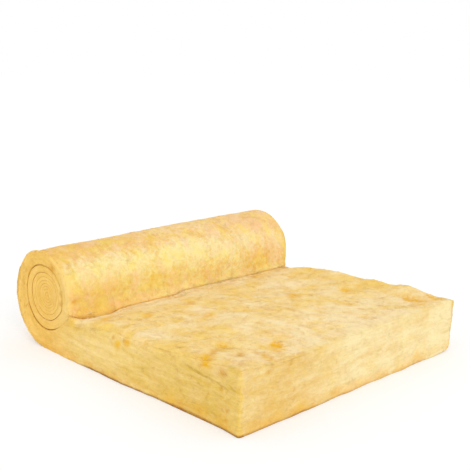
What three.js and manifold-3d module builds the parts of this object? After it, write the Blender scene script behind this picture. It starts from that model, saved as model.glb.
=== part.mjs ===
// A partly unrolled roll of glass wool: one continuous blanket, wound tight at the core,
// swelling turn by turn towards the outside and running out flat on the floor.
// Millimetres, +Z up. The roll lies along Y, and the blanket runs out towards +X.

import * as THREE from 'three';
import { mergeVertices } from 'three/addons/utils/BufferGeometryUtils.js';
import Module from 'manifold-3d';

// Blanket
const WIDTH = 1200;
const LOFT = 205; // height of the freed blanket at its lower side
const RUN_OUT = 934; // from the foot of the roll to the free end
const RECOVERY = 330; // distance over which the freed blanket regains its loft
const END_ROUND = 16; // soft top edge of the free end

// Winding, counted in turns from where the blanket leaves the floor
const TURNS = 9.3;
const CORE_RADIUS = 3;
const TIGHT_LAYER = 11.2; // thickness of a layer near the core
const SWELLING = 112.7; // how far the outermost turn has sprung out
const SWELLING_KEPT = 0.3839; // share of the swelling left one turn further in
const FOOT_TURN = 0.83; // where the outer turn comes down on the laid blanket
const CORE_X = 16.5;
const CORE_Z = 217.6;
const SAG_X = 27.9; // the outer turns hang to the back of the core
const SAG_Z = 3.1;
const SAG_KEPT = 0.8;

// The far end is wound looser than the near one
const LOOSER = 0.06;
const LOOSER_SHIFT = 13;

// Soft swells of the laid blanket's top
const SWELL_HEIGHT = 7;
const SWELL_LENGTH = 88; // radian lengths of the waves
const SWELL_SLANT = 260;
const CORNER_LIFT = 17; // the near corner stands up a little
const CORNER_REACH = 130;
const FAR_SWELLS = [ // along the far side: distance before the free end, height, length
  [750, 12.5, 200],
  [370, 12, 60],
  [220, 20, 75],
  [50, -8, 60],
];
const FAR_REACH = 120; // how far the swells of the far side reach inwards

// Gap between the turns, cut into both ends
const GAP_OUTER = 5;
const GAP_INNER = 2.2;
const GAP_DEPTH = 30;

// Facets
const OUTLINE_STEPS = 52;
const RUN_OUT_STEPS = 22;
const ROUND_STEPS = 4;
const WIDTH_STEPS = 14;
const GAP_STEPS_PER_TURN = 18;

const TAU = 2 * Math.PI;
const wasm = await Module();
wasm.setup();

/** The outer face of the wound blanket, `turn` turns in from the floor. */
function windingPoint(turn) {
  const radius = CORE_RADIUS + TIGHT_LAYER * (TURNS - turn) + SWELLING * SWELLING_KEPT ** turn;
  const sag = SAG_KEPT ** turn;
  return new THREE.Vector2(
    CORE_X - SAG_X * sag - radius * Math.sin(TAU * turn),
    CORE_Z + SAG_Z * sag - radius * Math.cos(TAU * turn),
  );
}

/** The turn at which the winding touches the floor, found by halving. */
function floorTurn() {
  let low = -0.1;
  let high = 0.1;
  const step = 1e-5;
  while (high - low > step) {
    const middle = (low + high) / 2;
    const rising = windingPoint(middle + step).y > windingPoint(middle).y;
    if (rising) high = middle;
    else low = middle;
  }
  return low;
}

const FLOOR_TURN = floorTurn();
const FLOOR_LEVEL = windingPoint(FLOOR_TURN).y;
const FOOT = windingPoint(FOOT_TURN);
FOOT.y -= FLOOR_LEVEL;
const FREE_END = FOOT.x + RUN_OUT;

/** Height of the laid blanket before its swells: pressed down at the roll, free at its end. */
function laidHeight(x) {
  return LOFT - (LOFT - FOOT.y) * Math.exp((FOOT.x - x) / RECOVERY);
}

/** Side outline of roll and laid blanket in one, as a shape in X and Z. */
function blanketOutline() {
  const outline = new THREE.Shape();
  outline.moveTo(windingPoint(FLOOR_TURN).x, 0);
  for (let i = 1; i <= OUTLINE_STEPS; i++) {
    const turn = THREE.MathUtils.lerp(FLOOR_TURN, FOOT_TURN, i / OUTLINE_STEPS);
    const point = windingPoint(turn);
    outline.lineTo(point.x, point.y - FLOOR_LEVEL);
  }
  const roundStart = FREE_END - END_ROUND;
  for (let i = 1; i <= RUN_OUT_STEPS; i++) {
    const x = THREE.MathUtils.lerp(FOOT.x, roundStart, i / RUN_OUT_STEPS);
    outline.lineTo(x, laidHeight(x));
  }
  const roundCentre = laidHeight(roundStart) - END_ROUND;
  outline.absarc(roundStart, roundCentre, END_ROUND, Math.PI / 2, 0, true);
  outline.lineTo(FREE_END, 0);
  return outline;
}

/** Outline of the gap between the turns: a thin ribbon that follows the winding inwards. */
function gapOutline() {
  const steps = Math.round((TURNS - FOOT_TURN) * GAP_STEPS_PER_TURN);
  const outer = [];
  const inner = [];
  for (let i = 0; i <= steps; i++) {
    const turn = THREE.MathUtils.lerp(FOOT_TURN - 0.01, TURNS - 0.2, i / steps);
    const point = windingPoint(turn);
    point.y -= FLOOR_LEVEL;
    const along = windingPoint(turn + 0.01).sub(windingPoint(turn - 0.01)).normalize();
    const half = THREE.MathUtils.lerp(GAP_OUTER, GAP_INNER, Math.min(1, turn / 4)) / 2;
    outer.push(new THREE.Vector2(point.x + along.y * half, point.y - along.x * half));
    inner.unshift(new THREE.Vector2(point.x - along.y * half, point.y + along.x * half));
  }
  return new THREE.Shape([...outer, ...inner]);
}

/** Lift of the laid blanket's top at (x, y). */
function swell(x, y) {
  const wave = Math.sin(x / SWELL_LENGTH + y / SWELL_SLANT) - Math.cos(x / SWELL_SLANT - y / SWELL_LENGTH / 2);
  const corner = Math.hypot(x - FREE_END, y + WIDTH / 2) / CORNER_REACH;
  const awayFromRoll = THREE.MathUtils.smoothstep(x, FOOT.x, FOOT.x + RECOVERY);
  const all = awayFromRoll * (SWELL_HEIGHT * wave / 2 + CORNER_LIFT * Math.exp(-corner * corner));
  const farSide = THREE.MathUtils.smoothstep(y, WIDTH / 2 - FAR_REACH, WIDTH / 2)
    * THREE.MathUtils.smoothstep(x, FOOT.x, FOOT.x + FAR_REACH);
  return FAR_SWELLS.reduce((lift, [before, height, length]) => {
    const along = (FREE_END - x - before) / length;
    return lift + farSide * height * Math.exp(-along * along);
  }, all);
}

/** Loosens an extruded outline towards the far end and gives its laid part the swells. */
function settle(geometry) {
  const position = geometry.attributes.position;
  for (let i = 0; i < position.count; i++) {
    const x = position.getX(i);
    const y = position.getY(i);
    const z = position.getZ(i);
    const far = (y + WIDTH / 2) / WIDTH;
    const looser = 1 + LOOSER * far;
    const footX = FOOT.x * looser + LOOSER_SHIFT * far;
    const laid = Math.max(0, (x - FOOT.x) / RUN_OUT);
    const settledX = x <= FOOT.x
      ? x * looser + LOOSER_SHIFT * far
      : THREE.MathUtils.lerp(footX, FREE_END, laid);
    const lift = laid > 0 ? swell(x, y) * z / laidHeight(x) : 0;
    position.setXYZ(i, settledX, y, z * looser + lift);
  }
  return geometry;
}

/** Extrudes a side outline along Y, from `start` over `depth`, and settles it. */
function alongWidth(outline, start, depth, steps) {
  const geometry = new THREE.ExtrudeGeometry(outline, {
    depth, steps, bevelEnabled: false, curveSegments: ROUND_STEPS,
  });
  geometry.rotateX(Math.PI / 2);
  geometry.translate(0, start + depth, 0);
  return settle(geometry);
}

/** A closed geometry as a solid for joining and cutting. */
function toSolid(geometry) {
  geometry.deleteAttribute('normal');
  geometry.deleteAttribute('uv');
  const merged = mergeVertices(geometry, 1e-4);
  return new wasm.Manifold(new wasm.Mesh({
    numProp: 3,
    vertProperties: new Float32Array(merged.attributes.position.array),
    triVerts: new Uint32Array(merged.index.array),
  }));
}

/** A solid back as a geometry. */
function toGeometry(solid) {
  const mesh = solid.getMesh();
  const geometry = new THREE.BufferGeometry();
  geometry.setAttribute('position', new THREE.BufferAttribute(mesh.vertProperties, 3));
  geometry.setIndex(new THREE.BufferAttribute(mesh.triVerts, 1));
  geometry.computeVertexNormals();
  return geometry;
}

function glassWoolBlanket() {
  const clear = 2; // the cutters start just outside the ends
  const blanket = toSolid(alongWidth(blanketOutline(), -WIDTH / 2, WIDTH, WIDTH_STEPS));
  const gaps = [-WIDTH / 2 - clear, WIDTH / 2 - GAP_DEPTH].map(
    (start) => toSolid(alongWidth(gapOutline(), start, GAP_DEPTH + clear, 1)),
  );
  const cut = gaps.reduce((solid, gap) => solid.subtract(gap), blanket);
  const geometry = toGeometry(cut);
  geometry.computeBoundingBox();
  const centre = geometry.boundingBox.getCenter(new THREE.Vector3());
  geometry.translate(-centre.x, 0, 0);

  const wool = new THREE.MeshStandardMaterial({ color: 0xe3c46a, roughness: 0.95, metalness: 0 });
  const mesh = new THREE.Mesh(geometry, wool);
  mesh.name = 'glass_wool_blanket';
  return mesh;
}

const insulationRoll = new THREE.Group();
insulationRoll.name = 'insulation_roll';
insulationRoll.add(glassWoolBlanket());

export default insulationRoll;
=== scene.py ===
"""A partly unrolled roll of glass wool: one blanket, wound at its back and laid out to +X."""
import itertools
import math

import bpy
import numpy as np
from mathutils import Matrix, Vector
from mathutils.bvhtree import BVHTree


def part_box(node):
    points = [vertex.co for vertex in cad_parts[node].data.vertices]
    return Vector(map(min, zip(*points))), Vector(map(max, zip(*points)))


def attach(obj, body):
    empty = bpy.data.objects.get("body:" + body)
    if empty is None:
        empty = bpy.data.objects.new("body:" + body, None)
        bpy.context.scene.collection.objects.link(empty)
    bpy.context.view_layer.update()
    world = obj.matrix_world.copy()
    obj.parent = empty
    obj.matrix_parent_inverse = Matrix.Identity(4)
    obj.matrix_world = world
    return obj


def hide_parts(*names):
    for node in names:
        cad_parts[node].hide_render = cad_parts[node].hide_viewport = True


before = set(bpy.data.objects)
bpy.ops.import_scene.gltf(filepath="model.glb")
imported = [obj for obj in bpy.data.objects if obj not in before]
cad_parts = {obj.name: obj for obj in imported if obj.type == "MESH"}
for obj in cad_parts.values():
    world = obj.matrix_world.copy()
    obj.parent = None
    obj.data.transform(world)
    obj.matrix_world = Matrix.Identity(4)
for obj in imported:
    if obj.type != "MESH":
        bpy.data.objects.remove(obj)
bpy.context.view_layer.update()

NODE = "glass_wool_blanket"
LOW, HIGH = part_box(NODE)
HALF_WIDTH = HIGH.y
MM = 0.001

# Winding, counted in turns from where the blanket leaves the floor (as in the CAD model)
TURNS = 9.3
CORE_RADIUS = 3 * MM
TIGHT_LAYER = 11.2 * MM
SWELLING = 112.7 * MM
SWELLING_KEPT = 0.3839
FOOT_TURN = 0.83
CORE_X = 16.5 * MM
CORE_Z = 217.6 * MM
SAG_X = 27.9 * MM
SAG_Z = 3.1 * MM
SAG_KEPT = 0.8
LOOSER = 0.06
LOOSER_SHIFT = 13 * MM

# Laid blanket
LOFT = 205 * MM
RUN_OUT = 934 * MM
RECOVERY = 330 * MM
SWELL_HEIGHT = 7 * MM
SWELL_LENGTH = 88 * MM
SWELL_SLANT = 260 * MM
CORNER_LIFT = 17 * MM
CORNER_REACH = 130 * MM
FAR_SWELLS = (  # along the far side: distance before the free end, height, length
    (0.750, 12.5 * MM, 0.200),
    (0.370, 12 * MM, 0.060),
    (0.220, 20 * MM, 0.075),
    (0.050, -8 * MM, 0.060),
)
FAR_REACH = 0.120

# Mesh fineness
ROWS = 28
INNER_STEP = (4.5 * MM, 12 * MM)  # least and most along the inner turns
STEP_BY_RADIUS = 0.3
CORE_HOLE = 0.05  # the pinhole at the core, as a share of the innermost turn
BARREL_STEPS = 156
UNDER_STEPS = 19
LAID_STEPS = 151
OUTER_STEP = 6.6 * MM
ACROSS_STEP = 6.6 * MM
EDGE_STATIONS = (0, 1.5 * MM, 4 * MM, 8 * MM, 15 * MM, 30 * MM)
CROWDING = (0.2, 0.5)  # of the rows towards both skins: at the core, and added outside

# How far the edges are rounded, in millimetres
TOP_ROUND, FAR_TOP_LESS, NEAR_TOP_MORE = 16, 9, 40
FOOT_ROUND = 4
LOW_ROUND = 4
FAR_CORNER_ACROSS, FAR_CORNER_UP = 20, 32
END_ROUND, END_TOP_MORE = 5, 7
LIP_LEAST, LIP_MOST = 0.7, 4.0
LIP_BY_THICKNESS = 0.1  # a share of the layer's thickness
FAR_RIM = 4
NEAR_RIM, NEAR_RIM_MORE = 4.5, 6
ROUND_UNEVEN = 0.3  # the share by which the rounding wavers

# Where the roll's foot slumps on to the laid blanket
SLUMP = (  # across the width: how far the roll's foot sinks there
    (-0.59, 2 * MM), (-0.54, 22 * MM), (-0.48, 38 * MM), (-0.43, 28 * MM), (-0.37, 13 * MM),
    (-0.25, 11 * MM), (-0.09, 11 * MM), (-0.03, 1 * MM), (0.10, 0),
)
SLUMP_REACH = 0.055
SLUMP_WAY = (0.45, -1)  # forwards and down
CREASE_FILL = (20 * MM, 12 * MM)
CREASE_FILL_NEAR, CREASE_FILL_LESS = 1.45, 0.45  # times as much at the near end, less at the far
CREASE_REACH = 0.034

# How far the top of the roll's outer turn sits lower, across the width
BROW = (
    (-0.60, 9 * MM), (-0.56, 5 * MM), (-0.50, 4 * MM), (-0.43, 4 * MM), (-0.35, 6.5 * MM),
    (-0.22, 5 * MM), (-0.05, 2 * MM), (0.10, 0),
)

# How far the foot of the near side stands out, from the roll to the free end
SIDE_FOOT = (
    (-0.10, 6 * MM), (0.01, 6 * MM), (0.07, 8 * MM), (0.13, 4 * MM), (0.19, 1 * MM),
    (0.25, -3 * MM), (0.33, -5 * MM), (0.48, -4.5 * MM), (0.54, -2 * MM), (0.60, 5 * MM),
    (0.63, 7 * MM),
)
SIDE_FOOT_HEIGHT = (0.02, 0.13)

# How far the foot of the free end stands out, across the width
END_FOOT = (
    (-0.60, 11 * MM), (-0.50, 9 * MM), (-0.26, 8 * MM), (-0.12, 4 * MM), (0.10, 3 * MM),
    (0.45, 2.5 * MM), (0.56, 0),
)
END_FOOT_HEIGHT = 0.11

# The turns inside the near end have sunk a little
SUNK_MIDDLE = (-0.434, 0.352)
SUNK_REACH = 0.070
SUNK_DEPTH = 8 * MM

# The split between two layers of wool in the near cut side
SPLIT_START, SPLIT_END = 0.36, 0.61
SPLIT_HEIGHT, SPLIT_SLOPE = 0.168, -0.135

# Folds round the roll's skin, by their place along it
UPPER_FOLD, FAR_FOLD = 0.300, 0.555
FOLD_WIDTH = 6 * MM

SIDEWAYS = 0.7  # faces that point further along Y than this are cut sides
FAR_OFF = 1000  # columns away, where a distance is out of reach


# ---------------------------------------------------------------- camera

CAMERA_PLACE = Vector((2.317, -2.336, 1.145))
CAMERA_YAW = math.radians(134.82)
CAMERA_PITCH = math.radians(-11.99)
CAMERA_ROLL = math.radians(1.57)
CAMERA_LENS = 65.39


def add_camera():
    ahead = Vector((
        math.cos(CAMERA_PITCH) * math.cos(CAMERA_YAW),
        math.cos(CAMERA_PITCH) * math.sin(CAMERA_YAW),
        math.sin(CAMERA_PITCH),
    ))
    level = ahead.cross(Vector((0, 0, 1))).normalized()
    upright = level.cross(ahead)
    right = math.cos(CAMERA_ROLL) * level + math.sin(CAMERA_ROLL) * upright
    up = math.cos(CAMERA_ROLL) * upright - math.sin(CAMERA_ROLL) * level
    data = bpy.data.cameras.new("camera")
    data.sensor_fit = "HORIZONTAL"
    data.sensor_width = 36
    data.lens = CAMERA_LENS
    camera = bpy.data.objects.new("camera", data)
    bpy.context.scene.collection.objects.link(camera)
    turn = Matrix((right, up, -ahead)).transposed().to_4x4()
    camera.matrix_world = Matrix.Translation(CAMERA_PLACE) @ turn
    bpy.context.scene.camera = camera


# ---------------------------------------------------------------- noise

SHUFFLE = np.random.default_rng(5).permutation(256)
SLOPES = np.random.default_rng(6).normal(size=(256, 3))
SLOPES /= np.linalg.norm(SLOPES, axis=1)[:, None]
OCTAVE_SHIFT = 17.3
OCTAVE_SIZE = 0.48
BEND_SHIFT = 31.7
GRAIN_STRENGTH = 1.6  # brings the noise to about -1 to 1


def one_grain(place):
    cell = np.floor(place).astype(int)
    inside = place - cell
    ease = inside ** 3 * (inside * (inside * 6 - 15) + 10)
    total = np.zeros(len(place))
    for corner in itertools.product((0, 1), repeat=3):
        at = (cell + corner) & 255
        pick = SHUFFLE[(SHUFFLE[(SHUFFLE[at[:, 0]] + at[:, 1]) & 255] + at[:, 2]) & 255]
        weight = np.where(corner, ease, 1 - ease).prod(1)
        total += weight * ((inside - corner) * SLOPES[pick]).sum(1)
    return total


def grain(place, size, seed, octaves=1):
    """Smooth noise, about -1 to 1; size is how far apart its lumps are, in metres."""
    total = np.zeros(len(place))
    strength = GRAIN_STRENGTH
    for octave in range(octaves):
        total += strength * one_grain(place / size + seed + OCTAVE_SHIFT * octave)
        size = size * OCTAVE_SIZE
        strength *= 0.5
    return total


def billow(place, size, seed):
    """Round pillows with creases between them, about 0 on average."""
    return np.abs(grain(place, size, seed)) - 0.4


def bent(place, size, by, seed):
    """Places pushed about, so that a pattern on them curls."""
    return place + by * np.stack([grain(place, size, seed + k * BEND_SHIFT) for k in range(3)], -1)


def smooth_step(value, low, high):
    share = np.clip((value - low) / (high - low), 0, 1)
    return share * share * (3 - 2 * share)


def hump(value, middle, width):
    return np.exp(-(((value - middle) / width) ** 2))


def read_off(table, at):
    """Values from a table of places and values, straight between its rows."""
    return np.interp(at, *np.transpose(table))


# ---------------------------------------------------------------- shape of the blanket

def winding_radius(turn):
    return CORE_RADIUS + TIGHT_LAYER * (TURNS - turn) + SWELLING * SWELLING_KEPT ** turn


def winding_point(turn):
    """The outer face of the wound blanket, as (x, z) from the roll's foot line."""
    turn = np.asarray(turn, float)
    radius = winding_radius(turn)
    sag = SAG_KEPT ** turn
    x = CORE_X - SAG_X * sag - radius * np.sin(math.tau * turn)
    z = CORE_Z + SAG_Z * sag - radius * np.cos(math.tau * turn)
    return np.stack([x, z], -1)


def floor_turn():
    """The turn at which the winding touches the floor."""
    turns = np.linspace(-0.1, 0.1, 20001)
    return float(turns[winding_point(turns)[:, 1].argmin()])


FLOOR_TURN = floor_turn()
FLOOR_LEVEL = float(winding_point(FLOOR_TURN)[1])
FOOT_X, FOOT_Z = winding_point(FOOT_TURN) - (0, FLOOR_LEVEL)
FREE_END = FOOT_X + RUN_OUT
TO_ROW_FRAME = HIGH.x - FREE_END


def laid_height(x):
    """Height of the laid blanket before its swells."""
    return LOFT - (LOFT - FOOT_Z) * np.exp((FOOT_X - x) / RECOVERY)


def swell(x, y):
    """Lift of the laid blanket's top."""
    wave = np.sin(x / SWELL_LENGTH + y / SWELL_SLANT) - np.cos(x / SWELL_SLANT - y / SWELL_LENGTH / 2)
    corner = np.hypot(x - FREE_END, y + HALF_WIDTH) / CORNER_REACH
    clear_of_roll = smooth_step(x, FOOT_X, FOOT_X + RECOVERY)
    lift = clear_of_roll * (SWELL_HEIGHT * wave / 2 + CORNER_LIFT * np.exp(-corner ** 2))
    far_side = smooth_step(y, HALF_WIDTH - FAR_REACH, HALF_WIDTH)
    far_side = far_side * smooth_step(x, FOOT_X, FOOT_X + FAR_REACH)
    for before, height, length in FAR_SWELLS:
        lift = lift + far_side * height * hump(FREE_END - x, before, length)
    return lift


def columns():
    """Sections from the core to the free end: outer and inner point of each, and its turn."""
    turns = [TURNS]
    while turns[-1] > FOOT_TURN:
        radius = winding_radius(turns[-1])
        step = min(max(STEP_BY_RADIUS * radius, INNER_STEP[0]), INNER_STEP[1])
        turns.append(max(FOOT_TURN, turns[-1] - step / (math.tau * radius)))
    barrel = np.linspace(FOOT_TURN, FLOOR_TURN, BARREL_STEPS)[1:]
    under = np.linspace(FLOOR_TURN, FOOT_TURN - 1, UNDER_STEPS)[1:]
    turns = np.concatenate([turns, barrel, under])
    outer = winding_point(turns)
    inner = winding_point(turns + 1)
    core = np.array([CORE_X, CORE_Z])
    inner = np.where((turns > TURNS - 1)[:, None], core + CORE_HOLE * (outer - core), inner)
    on_floor = turns < FLOOR_TURN
    share = (FLOOR_TURN - turns[on_floor]) / (FLOOR_TURN - FOOT_TURN + 1)
    outer[on_floor, 0] = winding_point(FLOOR_TURN)[0] * (1 - share) + FOOT_X * share
    outer[on_floor, 1] = FLOOR_LEVEL
    outer[:, 1] -= FLOOR_LEVEL
    inner[:, 1] -= FLOOR_LEVEL
    laid_x = np.linspace(FOOT_X, FREE_END, LAID_STEPS)[1:]
    outer = np.concatenate([outer, np.stack([laid_x, 0 * laid_x], -1)])
    inner = np.concatenate([inner, np.stack([laid_x, laid_height(laid_x)], -1)])
    turns = np.concatenate([turns, FOOT_TURN - 1 - (laid_x - FOOT_X) / RUN_OUT])
    return outer, inner, turns


OUTER, INNER, COLUMN_TURNS = columns()
FOOT_COLUMN = int(np.argmin(abs(COLUMN_TURNS - FOOT_TURN)))
FLOOR_COLUMN = int(np.argmin(abs(COLUMN_TURNS - FLOOR_TURN)))
LAID_COLUMN = int(np.argmin(abs(COLUMN_TURNS - (FOOT_TURN - 1))))
LAST_COLUMN = len(COLUMN_TURNS) - 1


def blanket_lengths():
    """How far along the blanket each section lies, from the core."""
    middle = (OUTER + INNER) / 2
    steps = np.linalg.norm(np.diff(middle, axis=0), axis=1)
    return np.concatenate([[0], np.cumsum(steps)])


ALONG = blanket_lengths()
THICKNESS = np.linalg.norm(INNER - OUTER, axis=1)


def deselect():
    bpy.ops.object.select_all(action="DESELECT")


def read_places(mesh):
    place = np.empty(len(mesh.vertices) * 3, np.float32)
    mesh.vertices.foreach_get("co", place)
    return place.reshape(-1, 3).astype(float)


def write_places(mesh, place):
    mesh.vertices.foreach_set("co", place.astype(np.float32).ravel())
    mesh.update()


def read_normals(mesh):
    normal = np.empty(len(mesh.vertices) * 3, np.float32)
    mesh.vertex_normals.foreach_get("vector", normal)
    return normal.reshape(-1, 3).astype(float)


def counted_block(stations):
    """A block whose corners count columns in x and rows in y, extruded across the width in z."""
    deselect()
    bpy.ops.mesh.primitive_grid_add(x_subdivisions=LAST_COLUMN, y_subdivisions=ROWS, size=1)
    block = bpy.context.object
    block.name = "wool_blanket"
    place = read_places(block.data)
    place[:, 0] = np.round((place[:, 0] + 0.5) * LAST_COLUMN)
    place[:, 1] = np.round((place[:, 1] + 0.5) * ROWS)
    place[:, 2] = stations[0]
    write_places(block.data, place)
    bpy.ops.object.mode_set(mode="EDIT")
    bpy.ops.mesh.select_all(action="SELECT")
    for here, there in zip(stations, stations[1:]):
        bpy.ops.mesh.extrude_region_move(TRANSFORM_OT_translate={"value": (0, 0, there - here)})
    bpy.ops.object.mode_set(mode="OBJECT")
    return block


def cut_skin(block, low, high, cuts):
    """Cuts the skin that shows, between two stations of the width."""
    mesh = block.data
    place = read_places(mesh)
    pairs = np.empty(len(mesh.edges) * 2, np.int32)
    mesh.edges.foreach_get("vertices", pairs)
    a, b = place[pairs[0::2]], place[pairs[1::2]]
    close = 0.01 * MM
    spans = (np.minimum(a[:, 2], b[:, 2]) < low + close) & (np.maximum(a[:, 2], b[:, 2]) > high - close)
    column, row = a[:, 0], a[:, 1]
    barrel = (row < 0.5) & (column >= FOOT_COLUMN) & (column <= FLOOR_COLUMN)
    top = (row > ROWS - 0.5) & (column >= LAID_COLUMN)
    end = column > LAST_COLUMN - 0.5
    bpy.ops.object.mode_set(mode="EDIT")
    bpy.ops.mesh.select_mode(type="EDGE")
    bpy.ops.mesh.select_all(action="DESELECT")
    bpy.ops.object.mode_set(mode="OBJECT")
    mesh.edges.foreach_set("select", spans & (barrel | top | end))
    bpy.ops.object.mode_set(mode="EDIT")
    bpy.ops.mesh.subdivide(number_cuts=cuts)
    bpy.ops.object.mode_set(mode="OBJECT")


def put_in_order(block, stations):
    """Sets corners exactly on their stations, and numbers corners and faces by their place.

    Edit mode leaves them in a new order each time, and the fibres are drawn in this order.
    """
    loose = block.data
    place = read_places(loose)
    place[:, :2] = np.round(place[:, :2])
    place[:, 2] = stations[np.searchsorted((stations[1:] + stations[:-1]) / 2, place[:, 2])]
    order = np.lexsort(place.T)
    number = np.argsort(order)
    faces = []
    for polygon in loose.polygons:
        corners = number[list(polygon.vertices)].tolist()
        first = corners.index(min(corners))
        faces.append(corners[first:] + corners[:first])
    block.data = bpy.data.meshes.new("wool_blanket")
    block.data.from_pydata(place[order].tolist(), [], sorted(faces))
    bpy.data.meshes.remove(loose)


def edge_rounds(column, depth, thick, along, across):
    """How far the rounding reaches on each face: towards the sides, the free end and the skin."""
    upper = depth > thick / 2
    high = smooth_step(depth / thick, 0.3, 0.7)
    waver = 1 + ROUND_UNEVEN * grain(np.stack([along, across, 0 * along], -1), 0.09, 3.1, 2)
    to_end = ALONG[-1] - along

    # The laid blanket: its top edge droops, most along the near side
    near_side = smooth_step(-across, 0, HALF_WIDTH)
    far_side = smooth_step(across, 0.2, HALF_WIDTH)
    drooping = TOP_ROUND - FAR_TOP_LESS * far_side
    drooping = (drooping + NEAR_TOP_MORE * near_side * smooth_step(to_end, 0.15, 0.7)) * MM * waver
    from_foot = along - ALONG[LAID_COLUMN]
    drooping = FOOT_ROUND * MM + (drooping - FOOT_ROUND * MM) * smooth_step(from_foot, -0.01, 0.07)
    far_corner = smooth_step(across, HALF_WIDTH - 0.15, HALF_WIDTH - 0.02)
    far_corner = smooth_step(-to_end, -0.25, 0) * far_corner
    low_skin = (LOW_ROUND * waver + FAR_CORNER_UP * far_corner) * MM
    low_side = (LOW_ROUND + FAR_CORNER_ACROSS * far_corner) * MM
    end = (END_ROUND + END_TOP_MORE * high) * MM * waver

    # The lips of the turns
    right_hand = np.clip(-np.sin(math.tau * COLUMN_TURNS[column]), 0, 1)
    loose = smooth_step(thick, 0.03, 0.09)
    lip = np.clip(thick * LIP_BY_THICKNESS, LIP_LEAST * MM, LIP_MOST * MM)
    lip = lip * (0.8 + 0.9 * loose * right_hand) * waver
    from_joint = COLUMN_TURNS[column] - FOOT_TURN + upper
    lip = lip * (0.1 + 0.9 * smooth_step(from_joint, 0.02, 0.15))

    # The rim of the outermost turn
    rim = np.where(across > 0, FAR_RIM * MM, (NEAR_RIM + NEAR_RIM_MORE * right_hand) * MM * waver)
    outermost = ~upper & (column >= FOOT_COLUMN) & (column < FLOOR_COLUMN)

    wound = np.where(upper, column < LAID_COLUMN, column < FOOT_COLUMN)
    skin = np.where(wound, lip, np.where(upper, drooping, low_skin))
    side = np.where(wound, 2.2 * lip, low_side + (drooping * 0.8 - low_side) * high)
    return np.where(outermost, rim, side), end, np.where(outermost, rim, skin)


def wrap(mesh):
    """Bends the counted block on to the winding.

    Returns each corner's column and row, and its place in the unwound blanket.
    """
    flat = read_places(mesh)
    column = np.round(flat[:, 0]).astype(int)
    row = flat[:, 1]
    across = flat[:, 2]
    along = ALONG[column]
    low_face, top_face = OUTER[column], INNER[column]
    through = top_face - low_face
    thick = np.linalg.norm(through, axis=1)
    inwards = through / thick[:, None]
    even = row / ROWS
    crowding = CROWDING[0] + CROWDING[1] * smooth_step(thick, 0.02, 0.12)
    depth = (even - crowding * np.sin(math.tau * even) / math.tau) * thick
    section = low_face + inwards * depth[:, None]

    # Edges: soft at the ends of the width, softer where the blanket was cut off
    upper = depth > thick / 2
    rounds = np.stack(edge_rounds(column, depth, thick, along, across))
    reach = np.stack([
        HALF_WIDTH - np.abs(across),
        np.where(column >= LAID_COLUMN, FREE_END - section[:, 0], 1),
        np.where(upper, thick - depth, depth),
    ])
    bites = np.clip(1 - reach / rounds, 0, None)
    size = np.linalg.norm(bites, axis=0)
    pull = bites * (1 - 1 / np.maximum(size, 1)) * rounds
    across = across - np.sign(across) * pull[0]
    section[:, 0] -= pull[1]
    section += inwards * (np.where(upper, -1, 1) * pull[2])[:, None]

    # Slump at the foot of the roll
    from_foot = np.hypot(section[:, 0] - FOOT_X, section[:, 1] - FOOT_Z)
    slump = hump(from_foot, 0, SLUMP_REACH) * read_off(SLUMP, across)
    section += slump[:, None] * SLUMP_WAY
    fill = CREASE_FILL_NEAR - CREASE_FILL_LESS * smooth_step(across, -0.15, 0.05)
    fill = hump(from_foot, 0, CREASE_REACH) * fill
    section += fill[:, None] * CREASE_FILL

    # Loose far end, swells of the laid part
    x, z = section[:, 0], section[:, 1]
    far = across / (2 * HALF_WIDTH) + 0.5
    looser = 1 + LOOSER * far
    roll_x = x * looser + LOOSER_SHIFT * far
    laid = np.clip((x - FOOT_X) / RUN_OUT, 0, 1)
    foot_x = FOOT_X * looser + LOOSER_SHIFT * far
    laid_x = foot_x + (FREE_END - foot_x) * laid
    lift = np.where(laid > 0, swell(x, across) * z / laid_height(x), 0)
    x = np.where(x <= FOOT_X, roll_x, laid_x) + TO_ROW_FRAME
    z = z * looser + lift

    # Sunk turns inside the near end
    from_sunk = np.hypot(x - SUNK_MIDDLE[0], z - SUNK_MIDDLE[1])
    z = z - SUNK_DEPTH * hump(from_sunk, 0, SUNK_REACH) * smooth_step(-across, 0.45, HALF_WIDTH)
    write_places(mesh, np.stack([x, across, z], -1))
    return column, row, np.stack([along, across, depth], -1)


def face_outwards(block):
    deselect()
    block.select_set(True)
    bpy.context.view_layer.objects.active = block
    bpy.ops.object.mode_set(mode="EDIT")
    bpy.ops.mesh.select_all(action="SELECT")
    bpy.ops.mesh.normals_make_consistent(inside=False)
    bpy.ops.object.mode_set(mode="OBJECT")


# ---------------------------------------------------------------- relief of the wool

PITS = (  # x, y, radius, depth: places where the wool is torn out of the laid top
    (0.455, -0.570, 0.020, 0.012),
    (0.430, -0.520, 0.012, 0.008),
    (0.500, -0.470, 0.018, 0.008),
    (0.520, -0.410, 0.012, 0.006),
    (0.520, -0.310, 0.020, 0.008),
    (0.400, -0.450, 0.020, 0.007),
    (0.240, 0.405, 0.025, 0.009),
    (0.500, 0.490, 0.040, 0.007),
    (0.165, -0.090, 0.018, 0.006),
    (-0.050, -0.405, 0.025, 0.006),
    (0.070, -0.560, 0.030, 0.005),
    (0.300, -0.355, 0.020, 0.006),
)

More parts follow.
